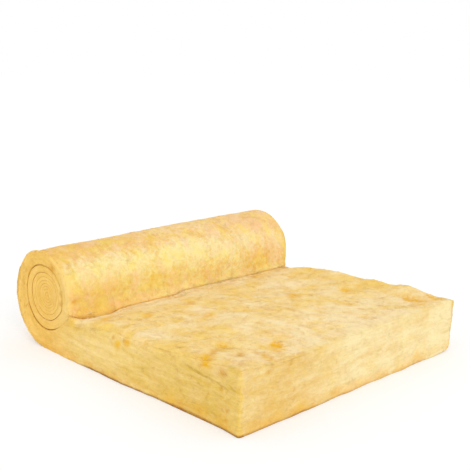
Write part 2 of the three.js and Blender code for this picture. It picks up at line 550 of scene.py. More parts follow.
ORANGE_SPOTS = (  # x, y, z, radius: richer wool that shows through
    (0.456, -0.571, 0.190, 0.024),
    (0.459, -0.574, 0.190, 0.012),
    (0.398, -0.452, 0.195, 0.013),
    (0.520, -0.318, 0.197, 0.022),
    (0.516, -0.314, 0.197, 0.012),
    (0.565, -0.420, 0.200, 0.014),
    (0.105, -0.240, 0.192, 0.018),
    (-0.050, -0.405, 0.183, 0.015),
    (-0.151, -0.523, 0.173, 0.018),
    (-0.086, -0.159, 0.179, 0.016),
    (0.151, 0.182, 0.199, 0.022),
    (0.242, 0.406, 0.194, 0.018),
    (0.075, -0.598, 0.155, 0.016),
    (0.025, -0.600, 0.135, 0.018),
    (0.553, 0.474, 0.209, 0.032),
    (0.568, 0.554, 0.208, 0.022),
    (0.487, 0.494, 0.195, 0.018),
    (0.631, -0.328, 0.018, 0.026),
    (0.631, -0.428, 0.018, 0.024),
    (0.631, -0.139, 0.018, 0.030),
    (0.629, 0.364, 0.033, 0.022),
    (0.456, -0.600, 0.020, 0.030),
    (0.550, -0.600, 0.028, 0.030),
    (0.300, -0.600, 0.012, 0.040),
)

BROWN_SPOTS = (  # x, y, z, radius: small dark knots
    (0.431, -0.520, 0.198, 0.011),
    (0.502, -0.472, 0.195, 0.014),
    (0.580, -0.547, 0.206, 0.010),
    (0.459, -0.574, 0.190, 0.006),
    (0.520, -0.412, 0.195, 0.008),
    (0.590, -0.419, 0.199, 0.006),
    (0.551, -0.600, 0.185, 0.013),
    (0.628, -0.371, 0.181, 0.006),
    (0.629, -0.469, 0.181, 0.009),
    (0.548, -0.600, 0.133, 0.009),
    (0.491, -0.600, 0.085, 0.006),
    (0.583, -0.600, 0.071, 0.007),
    (0.574, -0.600, 0.037, 0.007),
    (-0.006, -0.597, 0.150, 0.007),
    (0.475, 0.317, 0.206, 0.007),
    (-0.279, -0.570, 0.218, 0.010),
    (-0.323, -0.600, 0.240, 0.007),
    (-0.324, -0.600, 0.201, 0.008),
    (-0.380, -0.600, 0.330, 0.012),
)

FULLY_HOLLOW = 8 * MM  # how deep a place lies that counts as hollow
DRAWN_OUT = 0.6  # how far spots are drawn out, and the height above which they are
DRAWN_ABOVE = 0.172
CREASE_ON_ROLL, CREASE_ON_LAID = 0.045, 0.020  # how far the crease shows up and along the skin
SEAM_BY_THICKNESS = 0.1  # how deep a seam shows, as a share of the layer's thickness
SEAM_LEAST, SEAM_MOST = 2 * MM, 4.5 * MM


def spotted(place, spots):
    """How much of a spot each place has. High spots are drawn out along one diagonal."""
    ragged = bent(place, 0.03, 0.004, 71.3)
    total = np.zeros(len(place))
    for *middle, radius in spots:
        off = ragged - middle
        drawn = DRAWN_OUT * (off[:, 0] - off[:, 1]) / 2 * (middle[2] > DRAWN_ABOVE)
        off[:, 0] -= drawn
        off[:, 1] += drawn
        total += hump(np.linalg.norm(off, axis=1), 0, radius)
    return total


def pit_depth(place):
    total = np.zeros(len(place))
    for pit_x, pit_y, radius, depth in PITS:
        total += depth * hump(np.hypot(place[:, 0] - pit_x, place[:, 1] - pit_y), 0, radius)
    return total


def torn_skin(place):
    """1 where the wool's felted skin is torn off, 0 where it is whole; ragged edges between."""
    return 1 - smooth_step(grain(bent(place, 0.05, 0.012, 2.3), 0.085, 41.5, 4), -0.45, -0.15)


def top_relief(place):
    curled = bent(place, 0.07, 0.012, 8.1)
    fibres = curled * (1, 1.9, 1)
    large = (
        5 * MM * grain(place, 0.22, 11.2, 2)
        + 3.6 * MM * billow(curled, 0.11, 13.4)
        - 2.4 * MM * (torn_skin(place) - 0.2)
    )
    small = 1.0 * MM * grain(curled, 0.04, 17.8) + 1.3 * MM * grain(fibres, 0.021, 19.6, 2)
    far_side = smooth_step(place[:, 1], 0.45, 0.58)
    return large * (1 - 0.6 * far_side) + 3 * MM * far_side + small - pit_depth(place)


def barrel_relief(place):
    curled = bent(place, 0.07, 0.012, 9.2)
    y = place[:, 1] + 8 * MM * grain(place, 0.1, 4.4)
    folds = hump(y, UPPER_FOLD, FOLD_WIDTH) * smooth_step(place[:, 2], 0.27, 0.33)
    folds = folds + 0.7 * hump(y, FAR_FOLD, FOLD_WIDTH)
    near = smooth_step(-place[:, 1], 0.1, 0.5)
    back = smooth_step(-place[:, 0], 0.45, 0.56) * (1 - smooth_step(place[:, 2], 0.12, 0.34))
    brow = smooth_step(place[:, 2], 0.28, 0.39) * read_off(BROW, place[:, 1])
    by_rim = smooth_step(-place[:, 1], 0.5, 0.58)
    calm = 1 - 0.5 * np.maximum(smooth_step(place[:, 2], 0.32, 0.38), by_rim)
    return (
        8 * MM * near * back
        - brow
        + 2.5 * MM * grain(place, 0.2, 3.3, 2) * calm
        + 2.1 * MM * billow(curled, 0.06, 5.5) * calm
        + 1.6 * MM * grain(curled, 0.024, 7.7, 3) * calm
        - 4 * MM * folds
    )


def end_relief(place):
    far_side = smooth_step(place[:, 1], 0.42, 0.56)
    return (
        5 * MM * far_side
        + 5 * MM * grain(place, 0.16, 23.1, 2) * (1 - 0.7 * far_side)
        + 2.5 * MM * billow(bent(place, 0.05, 0.01, 6.6), 0.06, 25.3)
        + 1.6 * MM * grain(place * (1, 0.3, 1.6), 0.02, 29.9, 2)
        + (1 - smooth_step(place[:, 2], 0, END_FOOT_HEIGHT)) * read_off(END_FOOT, place[:, 1])
    )


def side_relief(own, place):
    layers = own * (0.22, 1, 1.5)
    split_height = SPLIT_HEIGHT + SPLIT_SLOPE * (place[:, 0] - SPLIT_START)
    near = (place[:, 1] < 0) & (place[:, 0] > SPLIT_START) & (place[:, 0] < SPLIT_END)
    split = np.where(near, hump(place[:, 2], split_height, 6 * MM), 0)
    foot = (1 - smooth_step(place[:, 2], *SIDE_FOOT_HEIGHT)) * (place[:, 1] < 0)
    return (
        1.9 * MM * grain(layers, 0.02, 31.1, 2)
        + 1.3 * MM * grain(own * (0.6, 1, 1), 0.016, 37.7)
        + 3 * MM * grain(own * (1, 0, 1), 0.13, 33.3)
        - 3.5 * MM * split
        + foot * read_off(SIDE_FOOT, place[:, 0])
    )


def ruffle(mesh, column, row, own):
    """Moves the skin along its normals. Returns how hollow, torn and near the crease each place is."""
    place = read_places(mesh)
    normal = read_normals(mesh)
    top = (row > ROWS - 0.5) & (column >= LAID_COLUMN)
    barrel = (row < 0.5) & (column >= FOOT_COLUMN) & (column <= FLOOR_COLUMN)
    end = (column > LAST_COLUMN - 0.5) & ~top
    side = (np.abs(normal[:, 1]) > SIDEWAYS) & ~(top | barrel | end)
    to_foot = OUTER_STEP * np.where(column < FOOT_COLUMN, FAR_OFF, column - FOOT_COLUMN)
    to_laid = OUTER_STEP * np.where(column < LAID_COLUMN, FAR_OFF, column - LAID_COLUMN)
    clear = 0.3 + 0.7 * smooth_step(np.minimum(to_foot, to_laid), 0, 0.03)
    wound = 1 - 0.75 * (column < FOOT_COLUMN)
    rise = np.zeros(len(place))
    rise[top] = top_relief(place[top]) * clear[top]
    rise[barrel] = barrel_relief(place[barrel]) * clear[barrel]
    rise[end] = end_relief(place[end])
    rise[side] = side_relief(own[side], place[side]) * wound[side]
    place += normal * rise[:, None]
    place[:, 2] = np.maximum(place[:, 2], 0)
    write_places(mesh, place)
    hollow = np.where(top | barrel, np.clip(-rise / FULLY_HOLLOW, 0, 3), 0)
    torn = np.zeros(len(place))
    torn[top] = torn_skin(place[top])
    on_laid = np.where(top, hump(to_laid, 0, CREASE_ON_LAID), 0)
    crease = np.where(barrel, hump(to_foot, 0, CREASE_ON_ROLL), on_laid)
    return hollow, torn, crease


def seams(column, depth):
    """1 where two turns of the roll meet, fainter where they are wound tight."""
    thick = THICKNESS[column]
    reach = np.clip(thick * SEAM_BY_THICKNESS, SEAM_LEAST, SEAM_MOST)
    from_joint = COLUMN_TURNS[column] - FOOT_TURN
    outer = hump(depth, 0, reach) * smooth_step(from_joint, 0.02, 0.14)
    inner = hump(thick - depth, 0, reach) * smooth_step(from_joint + 1, 0.02, 0.14)
    return np.maximum(outer, inner) * (0.3 + 0.7 * smooth_step(thick, 0.015, 0.05))


def keep_attribute(mesh, name, values):
    kind, field = ("FLOAT", "value") if values.ndim == 1 else ("FLOAT_VECTOR", "vector")
    layer = mesh.attributes.new(name, kind, "POINT")
    layer.data.foreach_set(field, values.astype(np.float32).ravel())


def read_attribute(mesh, name):
    layer = mesh.attributes[name]
    width = 3 if layer.data_type == "FLOAT_VECTOR" else 1
    values = np.empty(len(mesh.vertices) * width, np.float32)
    layer.data.foreach_get("vector" if width == 3 else "value", values)
    return values.reshape(-1, width)


def make_blanket(finish):
    left = [-HALF_WIDTH + station for station in EDGE_STATIONS]
    stations = left + [-station for station in reversed(left)]
    block = counted_block(stations)
    strips = round(-2 * left[-1] / ACROSS_STEP)
    cut_skin(block, left[-1], -left[-1], strips - 1)
    cut_skin(block, left[-2], left[-1], 1)
    cut_skin(block, -left[-1], -left[-2], 1)
    even = np.linspace(left[-1], -left[-1], strips + 1)
    between = (left[-2] + left[-1]) / 2
    put_in_order(block, np.unique([*stations, *even, between, -between]))
    column, row, own = wrap(block.data)
    face_outwards(block)
    hollow, torn, crease = ruffle(block.data, column, row, own)
    on_barrel = (column >= FOOT_COLUMN) & (column < LAID_COLUMN) & (row < 0.5)
    place = read_places(block.data)
    for name, values in (
        ("own_place", own),
        ("hollow", hollow),
        ("torn", torn),
        ("crease", crease),
        ("barrel", on_barrel.astype(float)),
        ("seam", seams(column, own[:, 2])),
        ("orange_spot", spotted(place, ORANGE_SPOTS)),
        ("brown_spot", spotted(place, BROWN_SPOTS)),
        ("strand", np.zeros(len(place))),
        ("column", column.astype(float)),
    ):
        keep_attribute(block.data, name, values)
    deselect()
    block.select_set(True)
    bpy.ops.object.shade_smooth()
    block.data.materials.append(finish)
    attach(block, "root")
    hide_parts(NODE)
    return block


# ---------------------------------------------------------------- loose fibres

STRAND_RIDGE = 0.5  # height of a strand's ridge, in half widths
STRAND_ROOT = 0.3 * MM  # how deep its ends are held in the wool
DARK_STRANDS = 0.35  # the share of them that is darker than the wool
WANDER = 0.45  # how far strands stray from their heading
FINE = (0.22 * MM, 0.45 * MM)  # half widths
STOUT = (0.5 * MM, 1.2 * MM)
MAP_WIDTH = 1.3  # of the roll's skin on its flat map, a little over the blanket's
FAR_SIDE_AT, END_AT = 0.35, 0.72  # where the far side and the free end start on the cut faces' map
MARKS = (  # what a strand takes over from the skin it grows on
    "own_place", "hollow", "torn", "crease", "barrel", "seam", "orange_spot", "brown_spot", "column",
)


class Skin:
    """The blanket's skin as triangles, to grow fibres on."""

    def __init__(self, block):
        mesh = block.data
        mesh.calc_loop_triangles()
        corners = np.empty(len(mesh.loop_triangles) * 3, np.int32)
        mesh.loop_triangles.foreach_get("vertices", corners)
        self.corners = corners.reshape(-1, 3)
        self.place = read_places(mesh)
        self.normal = read_normals(mesh)
        self.marks = {name: read_attribute(mesh, name) for name in MARKS}
        self.tree = BVHTree.FromPolygons(self.place.tolist(), self.corners.tolist())
        a, b, c = (self.place[self.corners[:, k]] for k in range(3))
        facing = np.cross(b - a, c - a)
        self.area = np.linalg.norm(facing, axis=1) / 2
        self.facing = facing / (2 * self.area[:, None] + 1e-12)
        self.column = self.marks["column"][self.corners[:, 0], 0].astype(int)

    def scatter(self, weight, count, luck):
        chance = self.area * weight
        pick = luck.choice(len(chance), count, p=chance / chance.sum())
        share = luck.dirichlet((1, 1, 1), count)[:, :, None]
        corners = self.corners[pick]

        def mixed(values):
            return (values[corners] * share).sum(1)

        normal = mixed(self.normal)
        normal /= np.linalg.norm(normal, axis=1)[:, None]
        marks = {name: mixed(values) for name, values in self.marks.items() if name != "column"}
        return pick, mixed(self.place), normal, marks

    def settle(self, place):
        """The nearest places on the skin, and the skin's normals there."""
        found = [self.tree.find_nearest(p) for p in place]
        return np.array([f[0] for f in found]), np.array([f[1] for f in found])


def level_with(direction, normal):
    direction = direction - normal * (direction * normal).sum(1)[:, None]
    return direction / np.maximum(np.linalg.norm(direction, axis=1), 1e-9)[:, None]


class Strands:
    """Loose fibres of one kind: how many, how they run, and how far they stand off the wool."""

    def __init__(self, count, steps, lengths, half_widths, lift, curl, seed):
        self.count = count
        self.steps = steps
        self.lengths = lengths
        self.half_widths = half_widths
        self.lift = lift
        self.curl = curl
        self.luck = np.random.default_rng(seed)

    def grow(self, skin, weight, heading):
        """Paths over the skin: both ends are held in the wool, the middle stands off."""
        luck = self.luck
        pick, place, normal, self.marks = skin.scatter(weight, self.count, luck)
        flow = heading(pick, place) + WANDER * luck.normal(size=place.shape)
        flow = level_with(flow, normal)
        step_length = luck.uniform(*self.lengths, self.count)[:, None] / self.steps
        curl = luck.normal(scale=self.curl, size=self.count)
        height = self.lift * luck.exponential(size=self.count).clip(0, 3)
        spots, normals, flows = [], [], []
        for step in range(self.steps + 1):
            stand = height * math.sin(math.pi * step / self.steps) - STRAND_ROOT
            spots.append(place + normal * stand[:, None])
            normals.append(normal)
            flows.append(flow)
            place, normal = skin.settle(place + flow * step_length)
            flow = level_with(flow + np.cross(normal, flow) * curl[:, None], normal)
        self.spots, self.normals, self.flows = (np.stack(rows, 1) for rows in (spots, normals, flows))

    def corners(self):
        """Each strand is a closed spindle: a point, rings of three corners, and a point."""
        half = self.luck.uniform(*self.half_widths, self.count)[:, None, None]
        beside = np.cross(self.normals, self.flows)
        rings = np.stack([
            self.spots - beside * half,
            self.spots + beside * half,
            self.spots + self.normals * half * STRAND_RIDGE,
        ], 2)[:, 1:-1].reshape(self.count, -1, 3)
        return np.concatenate([self.spots[:, :1], rings, self.spots[:, -1:]], 1)

    def faces(self):
        """The faces of one strand: a fan, bands of three, and a fan."""
        each = 3 * (self.steps - 1) + 2
        sides = ((0, 1), (1, 2), (2, 0))
        faces = [(0, 1 + b, 1 + a) for a, b in sides]
        for ring in range(1, each - 4, 3):
            faces += [(ring + a, ring + b, ring + 3 + b, ring + 3 + a) for a, b in sides]
        last = each - 4
        return faces + [(last + a, last + b, each - 1) for a, b in sides]

    def mesh(self, name):
        corners = self.corners()
        self.each = each = corners.shape[1]
        faces = self.faces()
        loops = np.array([corner for face in faces for corner in face])
        totals = np.array([len(face) for face in faces])
        mesh = bpy.data.meshes.new(name)
        mesh.vertices.add(self.count * each)
        mesh.vertices.foreach_set("co", corners.astype(np.float32).ravel())
        self.loops = (loops[None] + each * np.arange(self.count)[:, None]).ravel()
        mesh.loops.add(len(self.loops))
        mesh.loops.foreach_set("vertex_index", self.loops.astype(np.int32))
        starts = np.concatenate([[0], np.cumsum(np.tile(totals, self.count))[:-1]])
        mesh.polygons.add(len(starts))
        mesh.polygons.foreach_set("loop_start", starts.astype(np.int32))
        mesh.update(calc_edges=True)
        mesh.polygons.foreach_set("use_smooth", np.ones(len(mesh.polygons), bool))
        self.sharpen_hems(mesh)
        return mesh

    def sharpen_hems(self, mesh):
        """Sharp edges along both sides of each strand's flat underside."""
        ends = np.empty(len(mesh.edges) * 2, np.int32)
        mesh.edges.foreach_get("vertices", ends)
        at = ends.reshape(-1, 2) % self.each
        tip = (at == 0) | (at == self.each - 1)
        hem = [((at - 1) % 3 == side) | tip for side in (0, 1)]
        sharp = hem[0].all(1) | hem[1].all(1)
        layer = mesh.attributes.new("sharp_edge", "BOOLEAN", "EDGE")
        layer.data.foreach_set("value", sharp)


def add_fibres(name, strands, skin, weight, heading, flat_map, finish):
    """Grows strands where weight says, along heading, with flat_map as their map for baking."""
    strands.grow(skin, weight, heading)
    mesh = strands.mesh(name)
    for mark, values in strands.marks.items():
        values = np.repeat(values, strands.each, 0)
        keep_attribute(mesh, mark, values if values.shape[1] == 3 else values[:, 0])
    luck = strands.luck
    tint = luck.uniform(0.2, 1, strands.count)
    tint = tint * np.where(luck.random(strands.count) < DARK_STRANDS, -1, 1)
    keep_attribute(mesh, "strand", np.repeat(tint, strands.each))
    layer = mesh.uv_layers.new(name="OFBake")
    at = flat_map(read_places(mesh), read_attribute(mesh, "own_place"))[strands.loops]
    layer.uv.foreach_set("vector", at.astype(np.float32).ravel())
    mesh.materials.append(finish)
    piece = bpy.data.objects.new(name, mesh)
    bpy.context.scene.collection.objects.link(piece)
    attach(piece, "root")
    return piece


def swirling(pick, place):
    """Fibres combed one way here and another way there."""
    return np.stack([grain(place, 0.06, seed, 2) for seed in (51.1, 57.7, 63.3)], -1) * 1.6


def add_all_fibres(block, finish):
    skin = Skin(block)
    laid = (skin.column >= LAID_COLUMN) & (skin.facing[:, 2] > 0.4)
    cut_side = np.abs(skin.facing[:, 1]) >= SIDEWAYS
    barrel = (skin.column >= FOOT_COLUMN) & (skin.column <= FLOOR_COLUMN) & ~cut_side
    cut_end = (skin.column >= LAST_COLUMN - 1) & (skin.facing[:, 0] > 0.4)
    by_crease = (barrel & (skin.column < FOOT_COLUMN + 5)) | (laid & (skin.column < LAID_COLUMN + 4))
    cut = cut_side * 1.0 + cut_end * 1.2
    laid_cut = cut * (skin.column >= FOOT_COLUMN)
    outer_steps = np.gradient(OUTER, axis=0)

    def layered(pick, place):
        """Along the layers of the blanket, as fibres lie where it was cut."""
        run = outer_steps[skin.column[pick]]
        run = run / np.maximum(np.linalg.norm(run, axis=1), 1e-9)[:, None]
        sides = np.stack([run[:, 0], 0 * run[:, 0], run[:, 1]], -1)
        heading = np.where(cut_end[pick][:, None], (0, 1, 0), sides)
        return heading * 1.2

    def seen_from_above(place, own):
        return (place[:, :2] - (LOW.x, LOW.y)) / (HIGH.x - LOW.x)

    def unwound(place, own):
        start = ALONG[FOOT_COLUMN]
        length = ALONG[LAID_COLUMN] - start
        return np.stack([(own[:, 0] - start) / length, own[:, 1] / MAP_WIDTH + 0.5], -1)

    def cut_faces(place, own):
        wide = HIGH.x - LOW.x
        up = place[:, 2] / wide
        sides = np.stack([(place[:, 0] - LOW.x) / wide, up + (place[:, 1] > 0) * FAR_SIDE_AT], -1)
        ends = np.stack([(place[:, 1] - LOW.y) / wide, up + END_AT], -1)
        on_end = (np.abs(place[:, 1]) < HALF_WIDTH - 0.02) & (place[:, 0] > 0)
        return np.where(on_end[:, None], ends, sides)

    on_top = (swirling, seen_from_above)
    on_roll = (swirling, unwound)
    on_cuts = (layered, cut_faces)
    for name, weight, (heading, flat_map), strands in (
        ("wool_fibres_laid", laid, on_top, Strands(16000, 3, (0.010, 0.040), FINE, 0.9 * MM, 0.35, 71)),
        ("wool_fibres_roll", barrel, on_roll, Strands(11000, 3, (0.010, 0.036), FINE, 0.6 * MM, 0.35, 72)),
        ("wool_fibres_cut", cut, on_cuts, Strands(11000, 3, (0.005, 0.022), FINE, 0.5 * MM, 0.35, 73)),
        ("wool_wisps_laid", laid, on_top, Strands(2500, 5, (0.020, 0.050), STOUT, 2.0 * MM, 0.45, 74)),
        ("wool_wisps_roll", barrel, on_roll, Strands(3000, 5, (0.020, 0.070), STOUT, 1.0 * MM, 0.35, 75)),
        ("wool_wisps_cut", laid_cut, on_cuts, Strands(3500, 4, (0.012, 0.035), STOUT, 0.7 * MM, 0.25, 76)),
        ("wool_wisps_foot", by_crease, on_top, Strands(1500, 5, (0.020, 0.050), STOUT, 3.0 * MM, 0.35, 77)),
    ):
        add_fibres(name, strands, skin, weight, heading, flat_map, finish)


# ---------------------------------------------------------------- materials

class Wire:
    """A number's socket: arithmetic on it adds Math nodes."""

    def __init__(self, bench, socket):
        self.bench = bench
        self.socket = socket

    def math(self, operation, *others):
        inputs = dict(enumerate((self,) + others))
        return self.bench.add("ShaderNodeMath", {"operation": operation}, inputs)

    def __add__(self, other):
        return self.math("ADD", other)

    __radd__ = __add__

    def __mul__(self, other):
        return self.math("MULTIPLY", other)

    __rmul__ = __mul__

    def __sub__(self, other):
        return self.math("SUBTRACT", other)

    def __rsub__(self, other):
        return -1 * self + other

    def __abs__(self):
        return self.math("ABSOLUTE")

    def least(self, other):
        return self.math("MINIMUM", other)

    def most(self, other):
        return self.math("MAXIMUM", other)

    def rising(self, low, high):
        """0 below low, 1 above high, smooth between."""
        settings = {"interpolation_type": "SMOOTHSTEP"}
        inputs = {"Value": self, "From Min": low, "From Max": high}
        return self.bench.add("ShaderNodeMapRange", settings, inputs)


class Bench:
    """Where a material's nodes are put together."""

    def __init__(self, name):
        self.material = bpy.data.materials.new(name)
        self.material.use_nodes = True
        self.tree = self.material.node_tree
        self.shader = self.tree.nodes["Principled BSDF"]

    def feed(self, socket, value):
        if isinstance(value, Wire):
            self.tree.links.new(value.socket, socket)
        elif value is not None:
            socket.default_value = value

    def add(self, kind, settings, inputs, output=0):
        node = self.tree.nodes.new(kind)
        for key, value in settings.items():
            setattr(node, key, value)
        for key, value in inputs.items():
            self.feed(node.inputs[key], value)
        return Wire(self, node.outputs[output])

    def mark(self, name, output="Fac"):
        return self.add("ShaderNodeAttribute", {"attribute_name": name}, {}, output)

    def blend(self, first, second, share, how="MIX"):
        settings = {"data_type": "RGBA", "blend_type": how}
        return self.add("ShaderNodeMix", settings, {0: share, 6: first, 7: second}, 2)

    def noise(self, vector, size, detail, roughness=0.55, warp=0.0):
        settings = {"noise_type": "FBM", "normalize": True}
        inputs = {"Vector": vector, "Scale": 1 / size, "Detail": detail, "Roughness": roughness}
        return self.add("ShaderNodeTexNoise", settings, {**inputs, "Distortion": warp}, "Fac")

    def stretched(self, vector, x, y, z):
        settings = {"vector_type": "POINT"}
        return self.add("ShaderNodeMapping", settings, {"Vector": vector, "Scale": (x, y, z)})


def colour(*display):
    """A linear colour from a display one: red, green and blue, each over 10 and up to 255."""
    linear = [((channel / 255 + 0.055) / 1.055) ** 2.4 for channel in display]
    return (*linear, 1)


# Each face of the wool: its colour where the fibres lie dense, and where they are teased out
TOP = (colour(247, 208, 106), colour(253, 229, 174))
SIDE = (colour(228, 188, 78), colour(250, 220, 142))
END = (colour(231, 190, 102), colour(249, 231, 176))
BARREL = (colour(240, 194, 86), colour(248, 232, 171))
WOUND = (colour(236, 187, 78), colour(254, 210, 113))
PINK = colour(247, 202, 158)
LEMON = colour(250, 226, 112)
CREAM = colour(255, 238, 186)
ORANGE = colour(240, 182, 60)
PEACH = colour(255, 212, 122)
# A pale colour laid on as painted light in the crease at the roll's foot
PAINTED_LIGHT = colour(255, 238, 160)
AMBER = colour(238, 184, 34)
# Dark colour of the painted contact shadow along the floor
TOFFEE = colour(208, 150, 50)
CONTACT_SHADOW = colour(158, 104, 38)
OLIVE = colour(194, 152, 44)
KNOT = colour(210, 148, 18)
# Painted shade in the gaps between the roll's turns
SEAM_SHADE = colour(192, 132, 30)
SHADE = (0.72, 0.72, 0.72, 1)


def uneven(middle, *parts):
    """A share that wavers about its middle value, by each noise times its weight."""
    total = middle - sum(weight for _, weight in parts) / 2
    for noise, weight in parts:
        total = noise * weight + total
    return total


class Wool:
    """The wool's material: its noises and masks, a tone for each face, and the marks on them."""

    def __init__(self):
        self.bench = Bench("yellow_glass_wool")
        self.mark_skin()
        self.add_noises()
        self.mask_faces()

    def mark_skin(self):
        bench = self.bench
        self.place = bench.add("ShaderNodeTexCoord", {}, {}, "Object")
        self.own = bench.mark("own_place", "Vector")
        self.axes = [bench.add("ShaderNodeSeparateXYZ", {}, {0: self.place}, axis) for axis in range(3)]
        self.hollow = bench.mark("hollow")
        self.torn = bench.mark("torn")
        self.crease = bench.mark("crease")
        self.barrel = bench.mark("barrel")
        self.seam = bench.mark("seam")
        self.strand = bench.mark("strand")

    def add_noises(self):
        bench, place = self.bench, self.place
        self.broad = bench.noise(place, 0.2, 3)
        self.patches = bench.noise(place, 0.075, 4, 0.6, warp=0.6)
        self.mottle = bench.noise(place, 0.026, 3, 0.5, warp=0.8)
        self.tufts = bench.noise(place, 0.12, 3, 0.5, warp=0.9)
        self.wisps = bench.noise(place, 0.010, 6, 0.7, warp=1.4)
        self.curls = bench.noise(place, 0.034, 4, 0.55, warp=2.0)
        self.hue = bench.noise(place, 0.06, 3, 0.5, warp=0.8)
        self.layers = bench.noise(bench.stretched(self.own, 8, 8, 70), 1, 5, 0.65, warp=0.3)
        self.bands = bench.noise(bench.stretched(self.own, 4, 4, 26), 1, 4, 0.6, warp=0.3)
        self.flecks = bench.noise(bench.stretched(self.own, 12, 12, 50), 1, 5, 0.65, warp=0.4)
        self.splinters = bench.noise(bench.stretched(self.own, 55, 55, 160), 1, 5, 0.7, warp=0.6)
        self.drips = bench.noise(bench.stretched(self.own, 9, 24, 0), 1, 3, 0.5, warp=0.8)
        dark = bench.noise(place, 0.05, 3, 0.6, warp=1.2)
        pale = bench.noise(place, 0.035, 3, 0.6, warp=1.5)
        self.dark_threads = 1 - abs(dark - 0.5).rising(0.004, 0.022)
        self.pale_threads = 1 - abs(pale - 0.5).rising(0.008, 0.035)

    def mask_faces(self):
        """Masks of the faces. On the cut ones the finer noises follow the blanket's layers."""
        x, y, z = self.axes
        self.near_edge = near_edge = 0.05 * (self.mottle - 0.5)
        cut_side = (abs(y) + near_edge).rising(HALF_WIDTH - 0.028, HALF_WIDTH - 0.002)
        brim = (z + near_edge).rising(0.150, 0.185) * x.rising(-0.22, -0.05) * (1 - x.rising(0.54, 0.60))
        self.cut_side = cut_side * (1 - brim * 0.7)
        self.cut_end = (x + near_edge).rising(HIGH.x - 0.022, HIGH.x - 0.004)
        self.wound_side = 1 - x.rising(-0.42, -0.20)
        self.front = x.rising(-0.5, -0.4)
        self.open_skin = 1 - self.wound_side * self.cut_side
        self.cut = self.cut_side.most(self.cut_end)
        self.mottle = self.mottle * (1 - self.cut) + self.flecks * self.cut
        self.wisps = self.wisps * (1 - self.cut) + self.splinters * self.cut

    def top(self):
        x, y, _ = self.axes
        parts = (self.broad, 1.8), (self.tufts, 2.0), (self.patches, 0.75), (self.mottle, 0.15)
        teased = uneven(0.54, *parts)
        # Yellower where the skin is torn, and in hollows: there partly deeper wool and partly painted shade
        teased = teased - self.torn * 0.25 - self.hollow * 0.25 - (1 - y.rising(-0.55, -0.3)) * 0.1
        teased = teased - y.rising(0.38, 0.58) * (1 - x.rising(0.3, 0.5)) * 0.3
        teased = teased - (1 - y.rising(-0.59, -0.53)) * 0.3
        # Paler towards the free end, and paler by the roll's foot as painted light against the shade there
        teased = teased + x.rising(0.32, 0.56) * 0.3 + (1 - x.rising(-0.22, -0.12)) * 0.5
        teased = teased + x.rising(0, 0.25) * y.rising(-0.35, 0) * (1 - y.rising(0.2, 0.45)) * 0.2
        return self.bench.blend(*TOP, teased)

    def roll(self):
        x, y, z = self.axes
        blend, patches, crease = self.bench.blend, self.patches, self.crease
        parts = (self.broad, 1.1), (patches, 1.6), (self.drips, 0.8), (self.curls, 2.2), (self.mottle, 0.9)
        teased = uneven(0.48, *parts)
        # Paler round the middle of the roll's height, a painted highlight, and less teased along its top
        teased = teased + 0.3 * (z.rising(0.24, 0.32) - z.rising(0.33, 0.385) * 2.5)
        teased = teased + y.rising(-0.2, 0) * (1 - y.rising(0.22, 0.4)) * z.rising(0.24, 0.30) * 0.35
        roll = blend(*BARREL, teased)

        # Pink along the top and at the far end, peach behind, lemon along the front
        roll = blend(roll, PINK, z.rising(0.33, 0.39) * patches.rising(0.35, 0.6) * 0.5)
        roll = blend(roll, PINK, y.rising(0.25, 0.45) * z.rising(0.22, 0.30) * 0.35)
        roll = blend(roll, PEACH, (1 - self.front) * 0.35)
        yellow = (1 - y.rising(-0.2, 0.4)) * (1 - z.rising(0.30, 0.36)) * self.front
        roll = blend(roll, LEMON, yellow * 0.3)

        # The foot, lightened where it meets the laid blanket: painted light against the shade in the crease
        painted_foot_light = crease.rising(0.02, 0.4) * uneven(1.1, (patches, 2.5))
        roll = blend(roll, PEACH, painted_foot_light.rising(0.1, 0.9) * (0.7 - y.rising(-0.4, -0.1) * 0.3))
        roll = blend(roll, PAINTED_LIGHT, crease.rising(0.15, 0.9) * (0.1 + y.rising(-0.45, -0.2) * 0.6))

        # The near end: orange low down and on its brow, peach round its rim
        near_end = 1 - y.rising(-0.52, -0.12)
        roll = blend(roll, ORANGE, near_end * (1 - z.rising(0.23, 0.31)) * 0.45)
        brow = z.rising(0.345, 0.39) * (1 - y.rising(-0.52, -0.22)) * self.drips.rising(0.3, 0.6)
        roll = blend(roll, ORANGE, brow * 0.5)
        by_rim = (1 - (y + self.near_edge).rising(-0.585, -0.55)) * (1 - z.rising(0.28, 0.34))
        return blend(roll, PEACH, by_rim * 0.8)

    def side(self):
        x, y, z = self.axes
        teased = uneven(0.72, (self.layers, 1.3), (self.bands, 2.4), (self.mottle, 1.1))
        teased = teased - x.rising(-0.1, 0.5) * 0.45 - x.rising(0.50, 0.58) * z.rising(0.05, 0.10) * 0.2
        side = self.bench.blend(*SIDE, teased)
        teased = uneven(0.5, (self.layers, 1.5), (self.patches, 1.6), (self.mottle, 1.0))
        side = self.bench.blend(side, self.bench.blend(*WOUND, teased), self.wound_side)
        # Dark lines where the turns meet: painted shade in the gaps between them
        seam = (self.seam * uneven(0.8, (self.patches, 1.6))).rising(0.05, 0.85)
        return self.bench.blend(side, SEAM_SHADE, seam * 0.92)

    def end(self):
        y = self.axes[1]
        parts = (self.layers, 0.8), (self.bands, 1.4), (self.patches, 0.8), (self.mottle, 0.9)
        teased = uneven(0.2, *parts) + y.rising(-0.40, 0) * 0.55 + y.rising(0.2, 0.5) * 0.15
        return self.bench.blend(*END, teased)

    def faces(self):
        tone = self.bench.blend(self.top(), self.roll(), self.barrel)
        tone = self.bench.blend(tone, self.side(), self.cut_side)
        return self.bench.blend(tone, self.end(), self.cut_end * (1 - self.cut_side))

